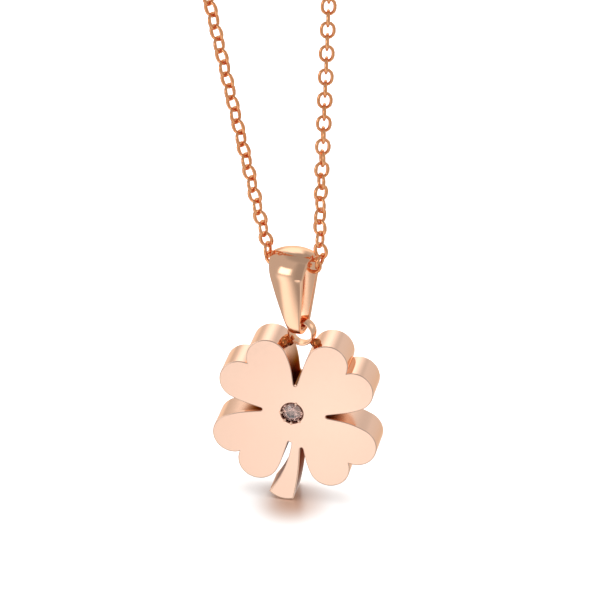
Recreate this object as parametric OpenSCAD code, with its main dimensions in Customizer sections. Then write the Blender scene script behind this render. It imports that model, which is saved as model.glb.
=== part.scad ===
// Four leaf clover pendant on a necklace chain, all sizes in millimetres.
// The origin is where the loop of chain hangs, under the middle of the clasp.
// +Z is up, the clover's polished face looks along -Y.

/* [Clover] */
// Thickness of the clover from its face to its back
clover_t = 3.8; // [2.6:0.1:5]
// Distance from the clover's centre to the lobe centres, measured along a leaf
lobe_reach = 5.95; // [5.7:0.05:6.3]
// Distance between the two lobe centres of one leaf
lobe_gap = 3.6; // [3.2:0.05:3.9]
// Radius of the round lobes
lobe_r = 2.0; // [1.9:0.05:2.2]
// Radius of the long arc down each side of a leaf
side_r = 7.8; // [7:0.1:9]
// Angle round the lobe, from the leaf's own direction, where the side arc starts
side_angle = 108.7; // [106:0.1:112]
// How far each lower leaf stands out sideways past the upper ones
lower_out = 0.52; // [0.3:0.01:0.7]
// How far the lower leaves are lifted towards the upper ones
lower_lift = 0.1; // [0:0.01:0.2]

/* [Slots] */
// Radius of the round end of the slot between the upper leaves
slot_r = 0.42; // [0.36:0.01:0.5]
// Distance from the centre to the end of the top slot
top_slot = 2.9; // [2.6:0.05:3.4]
// Distance from the centre to the end of the left slot
side_slot_left = 3.1; // [2.6:0.05:3.4]
// Distance from the centre to the end of the right slot
side_slot_right = 2.85; // [2.6:0.05:3.4]
// Distance from the centre to the end of the slot left of the stem
stem_slot_left = 2.9; // [2.6:0.05:3.4]
// Distance from the centre to the end of the slot right of the stem
stem_slot_right = 3.5; // [3:0.05:4]

/* [Stem] */
// Distance from the centre to the lowest edge of the stem
stem_drop = 9.25; // [8.8:0.05:9.8]
// Width of the stem where it leaves the leaves
stem_w = 0.76; // [0.6:0.02:0.9]
// How far the stem's top lies right of the centre
stem_right = 0.04; // [0:0.01:0.1]
// Radius of the stem's left edge, which flares out to the left
stem_left_r = 11; // [10:0.1:12.5]
// Radius of the stem's right edge
stem_right_r = 33.8; // [30:0.1:40]
// Radius of the stem's rounded lower edge
stem_foot_r = 2.2; // [2:0.05:2.4]
// How far the middle of that round edge lies left of the centre
stem_foot_left = 0.66; // [0.5:0.02:0.8]
// Height of the round edge, above which the stem's sides are plain arcs
stem_foot_h = 0.75; // [0.6:0.05:0.9]

/* [Stone and seat] */
// Diameter of the round stone
stone_d = 2.0; // [1.6:0.05:2.2]
// Share of the diameter that the flat table takes
table_share = 0.57; // [0.5:0.01:0.65]
// Height of the stone above its girdle
crown_h = 0.3; // [0.2:0.01:0.35]
// Depth of the stone below its girdle
pavilion_h = 0.86; // [0.7:0.01:0.95]
// Thickness of the stone's girdle
girdle_h = 0.06; // [0.03:0.01:0.1]
// Gap between the girdle and the wall of the seat
seat_gap = 0.15; // [0.08:0.01:0.2]
// How far the ledge of the seat lies below the girdle
ledge_drop = 0.09; // [0.06:0.01:0.15]
// How far the seat lies left of the centre
seat_left = 0.33; // [0:0.01:0.5]
// Distance of the kite facets' outer points, as a share of the way a flat crown would put them
kite_share = 0.98; // [0.94:0.01:0.98]
// Distance of the lower halves' inner points from the middle, as a share of the stone's radius
lower_half_share = 0.45; // [0.3:0.05:0.6]
// Radius of the metal grains that hold the stone
grain_r = 0.16; // [0.12:0.01:0.18]

/* [Hanging ring] */
// Outer diameter of the ring soldered between the upper leaves
ring_d = 2.76; // [2.6:0.02:3]
// Thickness of the ring's band
ring_wall = 0.3; // [0.26:0.01:0.34]
// Width of the band, front to back
ring_w = 1.16; // [1:0.02:1.2]
// Distance between the ring and the upper leaves
ring_gap = 0.4; // [0.34:0.02:0.46]
// How far the ring's centre lies right of the clover's centre
ring_right = 0.1; // [0:0.05:0.3]
// Angle that the ring is turned about the upright, as seen from above
ring_turn = -10; // [-14:1:-6]
// Radius of the solder bead at the left leaf
bead_left_r = 0.6; // [0.5:0.02:0.62]
// Radius of the solder bead at the right leaf
bead_right_r = 0.38; // [0.34:0.02:0.4]

/* [Bail] */
// Outer radius of the bail's top fold, seen from the side
bail_top_r = 2.19; // [2:0.01:2.4]
// Outer radius of the bail's foot, seen from the side
bail_foot_r = 1.25; // [1.24:0.01:1.3]
// Distance between the centres of the top fold and the foot
bail_rise = 5.29; // [5:0.01:6]
// Width of the bail at its top edge
bail_top_w = 4.1; // [3.8:0.05:4.15]
// Width of the bail at its lowest edge
bail_foot_w = 0.8; // [0.65:0.05:0.85]
// Thickness of the bail's sheet
bail_wall = 0.38; // [0.34:0.01:0.4]
// Thickness of the metal at the bail's foot
bail_foot_t = 0.5; // [0.42:0.01:0.54]
// Radius of the crosswise dome of the bail's sheet
bail_dome_r = 4.3; // [4:0.1:6]
// Angle that the bail is turned about the upright, as seen from above
bail_turn = -15.6; // [-18:0.1:-12]
// Angle that the bail leans to the left
bail_lean = 5.8; // [4:0.1:7]

/* [Chain and clasp] */
// How far the clover's centre hangs below the clasp
drop = 220; // [190:5:240]
// Diameter of the envelope of the cable chain
chain_d = 1.3; // [1.1:0.05:1.4]
// Length of the clasp
clasp_l = 11; // [10:0.5:12]
// Width of the clasp's loop
clasp_w = 4; // [3.6:0.1:4.6]
// Thickness of the clasp
clasp_t = 1; // [0.8:0.1:1.2]
// Width of the metal round the clasp's openings
clasp_wall = 0.7; // [0.6:0.05:0.8]
// Diameter of the clasp's end eye
eye_d = 2.8; // [2.6:0.1:3.4]

/* [Hidden] */
// Place of the clover's centre below the point where the loop hangs
clover_at = [21.5, 0, -drop];
// Small gap kept between pieces
gap = 0.1;
// Overlap of shapes that are joined in one piece
lap = 0.05;

// Distance from each end of the clasp to the chain's end
end_gap = 0.15;

// Points between the two ends of each long straight strand
strand_points = 6;
function on_strand(a, b, i) = a + (b - a) * i / (strand_points + 1);

// The chain's centre line, from the clasp's right end down the right strand,
// through the bail and up the left strand to the clasp's left end.
strand_ends = [[24, 0, -25], [23.2, 0, 42 - drop], [11.75, 0, 41.7 - drop], [-21.4, 0, -40]];
chain_route = [
    [clasp_l / 2 + end_gap, 0, 1.8], [8.5, 0, 1], [12, 0, -0.8], [15.5, 0, -3.4], [18.7, 0, -6.9],
    [21.2, 0, -11], [22.9, 0, -15.4], [23.8, 0, -20], strand_ends[0],
    for (i = [1:strand_points]) on_strand(strand_ends[0], strand_ends[1], i),
    strand_ends[1], [23.1, -0.1, 30 - drop], [23.05, -0.3, 22 - drop], [23.1, -0.5, 19 - drop],
    [23.2, -0.6, 17.2 - drop], [23.35, -0.55, 16.05 - drop], [23.35, -0.55, 15.55 - drop],
    [23.1, -0.5, 15.15 - drop], [22.75, -0.4, 14.95 - drop], [22.25, -0.25, 14.9 - drop],
    [20.75, 0.15, 14.75 - drop], [19.2, 0.6, 14.6 - drop], [18.7, 0.7, 14.55 - drop],
    [18.3, 0.85, 14.65 - drop], [18, 0.95, 15 - drop], [17.9, 0.95, 15.5 - drop],
    [17.75, 0.8, 16.8 - drop], [17.2, 0.5, 19 - drop], [16.25, 0.3, 23 - drop],
    [14.55, 0.1, 30 - drop], strand_ends[2],
    for (i = [1:strand_points]) on_strand(strand_ends[2], strand_ends[3], i),
    strand_ends[3], [-23.7, 0, -29.5], [-24.2, 0, -24], [-23.9, 0, -19.5], [-22.9, 0, -15.2],
    [-21.2, 0, -11], [-18.7, 0, -6.9], [-15.5, 0, -3.4], [-12, 0, -0.8], [-8.5, 0, 1],
    [-clasp_l / 2 - end_gap, 0, 1.8]
];

$fn = 96;

rose = [0.93, 0.73, 0.62];
rose_dark = [0.80, 0.52, 0.38];
clear = [0.88, 0.86, 0.9];

// Angles at which the leaves point, and where the centre of an upper leaf's inner lobe lies
upper_angle = 45;
lower_angle = -45;
lobe_x = lobe_reach * cos(upper_angle) - lobe_gap / 2 * sin(upper_angle);
lobe_z = lobe_reach * sin(upper_angle) + lobe_gap / 2 * cos(upper_angle);

// One leaf along +X, as two lobes and the lens between its two side arcs
module leaf() {
    side_x = lobe_reach - (side_r - lobe_r) * cos(side_angle);
    side_y = lobe_gap / 2 - (side_r - lobe_r) * sin(side_angle);
    touch_x = lobe_reach + lobe_r * cos(side_angle);
    for (side = [-1, 1])
        translate([lobe_reach, side * lobe_gap / 2]) circle(lobe_r);
    intersection() {
        translate([side_x, side_y]) circle(side_r);
        translate([side_x, -side_y]) circle(side_r);
        translate([0, -side_r]) square([touch_x, 2 * side_r]);
    }
    translate([touch_x - lap, -lobe_gap / 2]) square([lobe_reach - touch_x + lap, lobe_gap]);
}

module upper_leaf() { rotate(upper_angle) leaf(); }

module lower_leaf() { translate([lower_out, lower_lift]) rotate(lower_angle) leaf(); }

// A filled web from the centre outwards along +X that ends in a round slot end
module web(reach, half_w, end_r) {
    difference() {
        translate([0, -half_w]) square([reach + end_r, 2 * half_w]);
        translate([reach + end_r, 0]) circle(end_r);
    }
}

// The stem's outline: its left and right edges are arcs that bend to the left,
// and each arc starts to bend at its own height
stem_top = -2.9;
stem_right_bend = -3.9;

module stem_outline() {
    left_edge = stem_right - stem_w / 2;
    right_edge = stem_right + stem_w / 2;
    difference() {
        intersection() {
            translate([right_edge - stem_right_r, stem_right_bend]) circle(stem_right_r, $fn = 360);
            union() {
                translate([-stem_foot_left, stem_foot_r - stem_drop]) circle(stem_foot_r);
                translate([-stem_foot_left - stem_foot_r, stem_foot_h - stem_drop])
                    square([2 * stem_foot_r, stem_drop - stem_foot_h + stem_top]);
            }
        }
        translate([left_edge - stem_left_r, stem_top]) circle(stem_left_r, $fn = 240);
    }
}

// The whole face of the clover, seen from the front, with Y as the upright
web_w = 1.6;

module face_outline() {
    for (side = [0, 1]) mirror([side, 0]) {
        upper_leaf();
        lower_leaf();
    }
    translate([0, lower_lift / 2]) {
        mirror([1, 0]) web(side_slot_left, web_w, slot_r);
        web(side_slot_right, web_w, slot_r);
    }
    rotate(90) web(top_slot, web_w, slot_r);
    difference() {
        translate([-web_w, -stem_slot_right - slot_r]) square([2 * web_w, stem_slot_right]);
        stem_slot(-1, stem_slot_left);
        stem_slot(1, stem_slot_right);
    }
    stem_outline();
}

// A slot beside the stem, from its round end downwards past the web
module stem_slot(side, reach) {
    slot_w = lower_out + slot_r - stem_w / 2 - side * stem_right;
    slot_h = stem_slot_right;
    mid_x = side * (lower_out + slot_r - slot_w / 2);
    translate([mid_x, -reach - slot_w / 2]) circle(slot_w / 2);
    translate([mid_x - slot_w / 2, -reach - slot_w / 2 - slot_h]) square([slot_w, slot_h]);
}

// Stands an outline in XY up so that it faces -Y, centred on Y = 0
module upright(thickness) {
    rotate([90, 0, 0]) linear_extrude(thickness, center = true) children();
}

// The seat for the stone: a straight hole, a ledge and a narrower hole under it
seat_r = stone_d / 2 + seat_gap;
seat_ledge = crown_h + girdle_h + ledge_drop;
ledge_r = stone_d / 2 * (1 - ledge_drop / pavilion_h) + gap;
seat_depth = crown_h + girdle_h + pavilion_h + 2 * gap;

module seat_cut() {
    above = grain_r;
    translate([-seat_left, -clover_t / 2, 0]) rotate([-90, 0, 0]) {
        translate([0, 0, -above]) cylinder(r = seat_r, h = seat_ledge + above);
        cylinder(r = ledge_r, h = seat_depth);
    }
}

// Small grains of metal raised at the rim of the seat
grain_angles = [70, 182, 230, 268, 312];
grain_at = seat_r - grain_r / 2;
grain_sunk = grain_r / 8;

module grains() {
    for (a = grain_angles)
        translate([grain_at * cos(a) - seat_left, grain_sunk - clover_t / 2, grain_at * sin(a)])
            sphere(grain_r, $fn = 24);
}

// The hanging ring, a band with a slightly domed outside, soldered to both upper leaves
ring_out_r = ring_d / 2;
ring_in_r = ring_out_r - ring_wall;
ring_dome_r = 1.6;
ring_rise = sqrt(pow(ring_out_r + lobe_r + ring_gap, 2) - pow(lobe_x, 2));
ring_at = [ring_right, 0, lobe_z + ring_rise];

module hanging_ring() {
    translate(ring_at) rotate([0, 0, ring_turn]) rotate([90, 0, 0]) rotate_extrude() intersection() {
        translate([ring_in_r, -ring_w / 2]) square([ring_wall, ring_w]);
        translate([ring_out_r - ring_dome_r, 0]) circle(ring_dome_r);
    }
}

// A solder bead between the ring and a leaf's inner lobe. It starts halfway between
// them, and is set forward of the middle and up along the crevice.
module bead(side, r, forward, up) {
    lobe = [side * lobe_x, 0, lobe_z];
    towards = unit(lobe - ring_at);
    middle = (ring_out_r + norm(lobe - ring_at) - lobe_r) / 2;
    crevice = [side * abs(towards[2]), 0, abs(towards[0])];
    translate(ring_at + towards * middle + crevice * up - [0, forward, 0]) sphere(r, $fn = 40);
}

// Each side has one bead that joins the ring to the leaf, and more run forward of it.
// Columns: side, share of that side's bead radius, how far forward, how far up.
bead_rows = [
    [-1, 1, 0.1, 0],
    [-1, 0.85, 0.7, 0.25],
    [-1, 0.62, 1.2, 0.3],
    [1, 1, 0.1, 0],
    [1, 1.1, 1.1, 0.7]
];

module beads() {
    for (row = bead_rows)
        bead(row[0], row[1] * (row[0] < 0 ? bead_left_r : bead_right_r), row[2], row[3]);
}

module clover() {
    color(rose) translate(clover_at) {
        difference() {
            upright(clover_t) face_outline();
            seat_cut();
        }
        grains();
        hanging_ring();
        beads();
    }
}

// The round brilliant stone, facing +Z: table, crown, girdle, pavilion and point
star_r = stone_d / 2 * (1 + table_share) / 2;

function ring_points(n, r, z, turn) = [for (i = [0:n - 1]) [r * cos(turn + i * 360 / n), r * sin(turn + i * 360 / n), z]];

function brilliant_points(r, table_r, crown, girdle, pavilion) =
    let (half = 22.5,
         kite_r = star_r / cos(half) * kite_share,
         kite_z = crown * (r - kite_r * cos(half)) / (r - table_r),
         low_r = r * lower_half_share,
         low_z = -girdle - pavilion * (1 - low_r * cos(half) / r))
    concat(ring_points(8, table_r, crown, 0),
           ring_points(8, kite_r, kite_z, half),
           ring_points(16, r, 0, 0),
           ring_points(16, r, -girdle, 0),
           ring_points(8, low_r, low_z, half),
           [[0, 0, -girdle - pavilion]]);

brilliant_faces = concat(
    [[for (i = [7:-1:0]) i]],
    [for (i = [0:7]) [i, (i + 1) % 8, 8 + i]],
    [for (i = [0:7]) [i, 8 + i, 16 + 2 * i]],
    [for (i = [0:7]) [i, 16 + 2 * i, 8 + (i + 7) % 8]],
    [for (i = [0:7]) [8 + i, 16 + 2 * i + 1, 16 + 2 * i]],
    [for (i = [0:7]) [8 + i, 16 + (2 * i + 2) % 16, 16 + 2 * i + 1]],
    [for (i = [0:15]) [16 + i, 16 + (i + 1) % 16, 32 + i]],
    [for (i = [0:15]) [16 + (i + 1) % 16, 32 + (i + 1) % 16, 32 + i]],
    [for (i = [0:7]) [48 + i, 32 + 2 * i, 32 + 2 * i + 1]],
    [for (i = [0:7]) [48 + i, 32 + 2 * i + 1, 32 + (2 * i + 2) % 16]],
    [for (i = [0:7]) [48 + i, 56, 32 + 2 * i]],
    [for (i = [0:7]) [48 + i, 32 + (2 * i + 2) % 16, 56]]
);

module stone() {
    r = stone_d / 2;
    color(clear) translate(clover_at + [-seat_left, -clover_t / 2 + crown_h, 0]) rotate([90, 0, 0])
        polyhedron(brilliant_points(r, r * table_share, crown_h, girdle_h, pavilion_h), brilliant_faces);
}

// The bail: one sheet folded over the chain and closed through the ring.
// Its own frame has the foot's centre at the origin and the top fold above it.
foot_off = [-0.3, 0, 1.04];
foot_at = ring_at + foot_off;
leg_slope = asin((bail_top_r - bail_foot_r) / bail_rise);

// Stations round the side profile: angle of the outward normal from the front,
// height share up the straight leg, and which circle the station lies on
foot_steps = 6;
leg_steps = 5;
top_steps = 22;

function station(a, centre, r, inner_centre, inner_r) =
    [[-r * cos(a), centre + r * sin(a)], [-inner_r * cos(a), inner_centre + inner_r * sin(a)], a];

function foot_station(a) = station(a, 0, bail_foot_r, bail_foot_t - bail_wall, bail_foot_r - bail_wall);

function top_station(a) = station(a, bail_rise, bail_top_r, bail_rise, bail_top_r - bail_wall);

function mix(a, b, t) = a + (b - a) * t;

function leg_station(side_a, t) =
    let (low = foot_station(side_a), high = top_station(side_a))
    [mix(low[0], high[0], t), mix(low[1], high[1], t), side_a];

bail_stations = concat(
    [for (i = [0:foot_steps - 1]) foot_station(-90 + i * (90 - leg_slope) / foot_steps)],
    [for (i = [0:leg_steps]) leg_station(-leg_slope, i / leg_steps)],
    [for (i = [1:top_steps - 1]) top_station(-leg_slope + i * (180 + 2 * leg_slope) / top_steps)],
    [for (i = [leg_steps:-1:0]) leg_station(180 + leg_slope, i / leg_steps)],
    [for (i = [1:foot_steps - 1]) foot_station(180 + leg_slope + i * (90 - leg_slope) / foot_steps)]
);

// Half the sheet's width at a height of the side profile
function bail_half_w(z) =
    mix(bail_foot_w, bail_top_w, (z + bail_foot_r) / (bail_rise + bail_top_r + bail_foot_r)) / 2;

// A point of the sheet: across is -1 to 1 from the left edge to the right one
function bail_point(st, across, layer) =
    let (x = across * bail_half_w(st[0][1]),
         sunk = x * x / (2 * bail_dome_r),
         p = st[layer])
    [x, p[0] + cos(st[2]) * sunk, p[1] - sin(st[2]) * sunk];

across_steps = 8;

function bail_section(st) = concat(
    [for (i = [0:across_steps]) bail_point(st, -1 + 2 * i / across_steps, 0)],
    [for (i = [across_steps:-1:0]) bail_point(st, -1 + 2 * i / across_steps, 1)]
);

// Joins closed rings of points into a tube that closes on itself
function loop_faces(rings, n) = [
    for (i = [0:rings - 1], j = [0:n - 1])
        let (a = i * n, b = ((i + 1) % rings) * n, k = (j + 1) % n)
        each [[a + j, b + j, b + k], [a + j, b + k, a + k]]
];

module bail() {
    points = [for (st = bail_stations) each bail_section(st)];
    color(rose) translate(clover_at + foot_at) rotate([0, 0, bail_turn]) rotate([0, -bail_lean, 0])
        polyhedron(points, loop_faces(len(bail_stations), 2 * (across_steps + 1)));
}

// The chain: one smooth tube along the route, as wide as the links
tube_sides = 8;

function curve_point(p0, p1, p2, p3, t) =
    (2 * p1 + (p2 - p0) * t + (2 * p0 - 5 * p1 + 4 * p2 - p3) * t * t
        + (3 * p1 - p0 - 3 * p2 + p3) * t * t * t) / 2;

function unit(v) = v / norm(v);

route_last = len(chain_route) - 1;

function route_point(i) = chain_route[min(max(i, 0), route_last)];

// Wide bends get one more ring between their points, and straight stretches and tight bends none
tight_step = 2.5;
wide_step = 6.5;

function ring_shares(i) =
    let (apart = norm(chain_route[i + 1] - chain_route[i]))
    (apart > tight_step && apart < wide_step) ? [0, 0.5] : [0];

chain_line = concat(
    [for (i = [0:route_last - 1], t = ring_shares(i))
        curve_point(route_point(i - 1), route_point(i), route_point(i + 1), route_point(i + 2), t)],
    [chain_route[route_last]]
);

function line_heading(i) =
    unit(chain_line[min(i + 1, len(chain_line) - 1)] - chain_line[max(i - 1, 0)]);

// The tube's rings stand square to the line, with one side kept towards -Y
function tube_ring(i) =
    let (heading = line_heading(i),
         side = unit(cross(heading, [0, 1, 0])),
         front = cross(side, heading))
    [for (k = [0:tube_sides - 1])
        let (a = 360 * (k + 0.5) / tube_sides)
        chain_line[i] + chain_d / 2 * (side * cos(a) + front * sin(a))];

function tube_faces(rings, n) = concat(
    [for (i = [0:rings - 2], j = [0:n - 1])
        let (a = i * n, b = (i + 1) * n, k = (j + 1) % n)
        each [[a + j, b + j, b + k], [a + j, b + k, a + k]]],
    [[for (j = [0:n - 1]) j]],
    [[for (j = [n - 1:-1:0]) (rings - 1) * n + j]]
);

module chain() {
    points = [for (i = [0:len(chain_line) - 1]) each tube_ring(i)];
    color(rose_dark) polyhedron(points, tube_faces(len(chain_line), tube_sides));
}

// The clasp: a plain closed loop with an eye at its right end, flat in the plane of the chain loop
loop_l = clasp_l - eye_d + clasp_wall;

module stadium(length, width) {
    for (side = [-1, 1])
        translate([side * (length - width) / 2, 0]) circle(width / 2);
    square([length - width, width], center = true);
}

module clasp() {
    color(rose_dark) translate([0, 0, clasp_w / 2]) upright(clasp_t) {
        difference() {
            translate([(loop_l - clasp_l) / 2, 0]) stadium(loop_l, clasp_w);
            translate([(loop_l - clasp_l) / 2, 0]) stadium(loop_l - 2 * clasp_wall, clasp_w - 2 * clasp_wall);
        }
        difference() {
            translate([(clasp_l - eye_d) / 2, 0]) circle(eye_d / 2);
            translate([(clasp_l - eye_d) / 2, 0]) circle(eye_d / 2 - clasp_wall);
        }
    }
}

clover();
stone();
bail();
chain();
clasp();
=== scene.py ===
"""The looks of a four leaf clover pendant on its cable chain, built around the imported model.

The clover's leaves, seat cup, grains, ring and solder, the bail, the chain's links, its end
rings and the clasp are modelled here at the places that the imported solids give. The cut stone
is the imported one. Lengths are in metres, +Z is up, and the clover's polished face looks
along -Y.
"""

import logging
import math
from collections.abc import Iterable
from dataclasses import dataclass, field
from enum import Enum

import bmesh
import bpy
from bmesh.types import BMEdge, BMesh, BMVert
from mathutils import Matrix, Vector, noise


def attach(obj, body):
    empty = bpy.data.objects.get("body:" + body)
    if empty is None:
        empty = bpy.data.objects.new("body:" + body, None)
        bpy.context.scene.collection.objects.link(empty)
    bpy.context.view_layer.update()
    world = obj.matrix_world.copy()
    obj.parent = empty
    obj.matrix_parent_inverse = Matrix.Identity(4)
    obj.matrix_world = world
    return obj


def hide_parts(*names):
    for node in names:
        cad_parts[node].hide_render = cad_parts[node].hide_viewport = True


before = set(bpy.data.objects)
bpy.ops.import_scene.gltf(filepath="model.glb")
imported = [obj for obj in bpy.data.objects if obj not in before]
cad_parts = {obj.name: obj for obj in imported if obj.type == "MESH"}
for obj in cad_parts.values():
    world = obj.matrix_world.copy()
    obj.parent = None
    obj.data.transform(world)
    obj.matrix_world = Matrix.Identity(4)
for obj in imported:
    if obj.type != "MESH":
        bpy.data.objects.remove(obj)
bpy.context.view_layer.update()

MM = 0.001
CLOVER_AT = Vector((21.5, 0.0, -220.0)) * MM
FORWARD = Vector((0.0, -1.0, 0.0))
UP = Vector((0.0, 0.0, 1.0))

# Points closer than this are one point, and edges that turn by less are shaded smooth.
MERGE = 0.0001 * MM
SMOOTH_TURN = math.radians(32)

# The stretch of values that most of a noise lies in, and how much large faces count in shading.
NOISE_MIDDLE = (0.3, 0.7)
FACE_WEIGHT = 100

Colour = tuple[float, float, float]
PlanePoint = tuple[float, float]
Socket = bpy.types.NodeSocket
WHITE: Colour = (1.0, 1.0, 1.0)
BLACK: Colour = (0.0, 0.0, 0.0)

log = logging.getLogger("clover_pendant")


class Slot(Enum):
    """The record's material slots of the pieces modelled here."""

    POLISHED = "polished_metal"
    BAIL = "bail_metal"
    CHAIN = "chain_metal"


class Body(Enum):
    """The bodies that pieces ride on."""

    NECKLACE = "necklace"
    BAIL = "bail"
    CLOVER = "clover"


class Facing(Enum):
    """Which of its two planes a chain link lies in."""

    BROAD = 0
    EDGE = 1


def face_point(x: float, z: float, y: float = 0.0) -> Vector:
    """Gives the place that is x right of, z above and y behind the clover's middle."""
    return CLOVER_AT + Vector((x, y, z))


def mesh_object(name: str, bm: BMesh) -> bpy.types.Object:
    """Turns a bmesh into a smooth shown object at the origin, and frees the bmesh.

    Args:
        name: Name of the piece.
        bm: The finished bmesh.

    Returns:
        The new object.
    """
    for face in bm.faces:
        face.smooth = True
    mesh = bpy.data.meshes.new(name)
    bm.to_mesh(mesh)
    bm.free()
    piece = bpy.data.objects.new(name, mesh)
    bpy.context.scene.collection.objects.link(piece)
    return piece


def only(geometry: Iterable[object], kind: type) -> list:
    """Picks the elements of one kind out of an operator's result."""
    return [g for g in geometry if isinstance(g, kind)]


def edges_at(verts: Iterable[BMVert]) -> list[BMEdge]:
    """Lists the edges at some vertices, each one once."""
    return list(dict.fromkeys(e for v in verts for e in v.link_edges))


def grow_ring(bm: BMesh, ring: list[BMEdge]) -> tuple[list[BMVert], list[BMEdge]]:
    """Extrudes a ring of edges, and leaves the new ring where the old one is.

    Args:
        bm: The bmesh.
        ring: The ring's edges.

    Returns:
        The new ring's vertices and edges.
    """
    grown = bmesh.ops.extrude_edge_only(bm, edges=ring)["geom"]
    verts = only(grown, BMVert)
    edges = only(grown, BMEdge)
    return verts, [e for e in edges if all(v in verts for v in e.verts)]


def revolve(
    bm: BMesh, outline: list, centre: Vector, axis: Vector, steps: int, merge: float = MERGE
) -> None:
    """Spins an outline all the way round, closes its seam and turns its faces outwards.

    Args:
        bm: The bmesh.
        outline: The outline's vertices and edges.
        centre: A point on the axis.
        axis: The axis.
        steps: Sides that the round has.
        merge: Distance below which points become one.
    """
    bmesh.ops.spin(
        bm, geom=outline, cent=centre, axis=axis, angle=math.tau, steps=steps, use_merge=True
    )
    bmesh.ops.remove_doubles(bm, verts=bm.verts[:], dist=merge)
    bmesh.ops.recalc_face_normals(bm, faces=bm.faces[:])


def round_off(bm: BMesh, geometry: list, size: float, rows: int, clamp: bool = False) -> None:
    """Rounds edges or corners.

    Args:
        bm: The bmesh.
        geometry: The edges, or the vertices, to round.
        size: How far the rounding reaches from them.
        rows: Rows of faces over the rounding.
        clamp: Whether roundings that would meet are kept apart.
    """
    affect = "EDGES" if only(geometry, BMEdge) else "VERTICES"
    bmesh.ops.bevel(
        bm, geom=geometry, offset=size, segments=rows, profile=0.5, affect=affect,
        clamp_overlap=clamp, material=-1,
    )


def packed_copy(node: str) -> BMesh:
    """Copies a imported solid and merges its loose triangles.

    Args:
        node: The solid's name.

    Returns:
        The copy.
    """
    bm = bmesh.new()
    bm.from_mesh(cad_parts[node].data)
    bmesh.ops.remove_doubles(bm, verts=bm.verts[:], dist=MERGE)
    return bm


def clamped_share(part: float, whole: float) -> float:
    """Gives a part as a share of a whole, held between 0 and 1."""
    return min(max(part / whole, 0.0), 1.0)


def mark_sharp(bm: BMesh, angle: float) -> None:
    """Keeps the shading apart across edges that turn by more than an angle in radians."""
    for edge in bm.edges:
        edge.smooth = edge.is_manifold and edge.calc_face_angle(0.0) < angle


def weigh_normals(piece: bpy.types.Object) -> None:
    """Adds a modifier that keeps large flat faces flat beside small rounded edges.

    Args:
        piece: The piece.
    """
    weighted = piece.modifiers.new("even_shading", "WEIGHTED_NORMAL")
    weighted.keep_sharp = True
    weighted.weight = FACE_WEIGHT


def dress(piece: bpy.types.Object, material: bpy.types.Material) -> None:
    """Gives a piece its only material."""
    piece.data.materials.clear()
    piece.data.materials.append(material)


def hand_over(
    piece: bpy.types.Object, material: bpy.types.Material, body: Body, slot: Slot, *nodes: str
) -> None:
    """Dresses a finished piece, lets it ride on its body and reports it.

    Args:
        piece: The finished piece.
        material: Its finish.
        body: The body that it moves with.
        slot: The record's slot for the piece, not used.
        nodes: Names of the solids that it stands for.
    """
    dress(piece, material)
    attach(piece, body.value)
    if nodes:
        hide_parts(*nodes)
    log.info("%s: %d faces, rides on %s", piece.name, len(piece.data.polygons), body.value)


class Nodes:
    """A short way to lay out the nodes of one tree."""

    def __init__(self, tree: bpy.types.NodeTree) -> None:
        """Takes the node tree to work in."""
        self.tree = tree

    def add(self, kind: str, **settings: object) -> bpy.types.Node:
        """Adds a node.

        Args:
            kind: The node's type.
            settings: Values for the node's properties, or for inputs by their name.

        Returns:
            The node.
        """
        node = self.tree.nodes.new(kind)
        for key, value in settings.items():
            if hasattr(node, key):
                setattr(node, key, value)
            else:
                node.inputs[key.replace("_", " ").title()].default_value = value
        return node

    def feed(self, value: object, socket: Socket) -> None:
        """Gives an input a fixed value or another node's output.

        Args:
            value: A number, vector, colour or output.
            socket: The input.
        """
        if isinstance(value, Socket):
            self.tree.links.new(value, socket)
        elif socket.type == "RGBA":
            socket.default_value = (*value, 1.0)
        else:
            socket.default_value = value

    def work(self, kind: str, operation: str, *values: object) -> bpy.types.Node:
        """Adds a node that works out one result.

        Args:
            kind: The node's type.
            operation: What is done, as the node names it.
            values: The numbers, vectors or outputs that it is done to.

        Returns:
            The node.
        """
        node = self.add(kind, operation=operation)
        for value, socket in zip(values, node.inputs):
            self.feed(value, socket)
        return node

    def number(self, operation: str, *values: float | Socket) -> Socket:
        """Works out one number."""
        return self.work("ShaderNodeMath", operation, *values).outputs["Value"]

    def ranged(self, source: Socket, **limits: object) -> Socket:
        """Carries a value over from one range to another.

        Args:
            source: The value.
            limits: Settings of the Map Range node by their name.

        Returns:
            The result's socket.
        """
        node = self.add("ShaderNodeMapRange", **limits)
        self.feed(source, node.inputs["Value"])
        return node.outputs["Result"]

    def ramp(self, source: Socket, start: float, end: float) -> Socket:
        """Rises smoothly from 0 at the start value to 1 at the end value."""
        return self.ranged(source, interpolation_type="SMOOTHSTEP", from_min=start, from_max=end)


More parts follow.
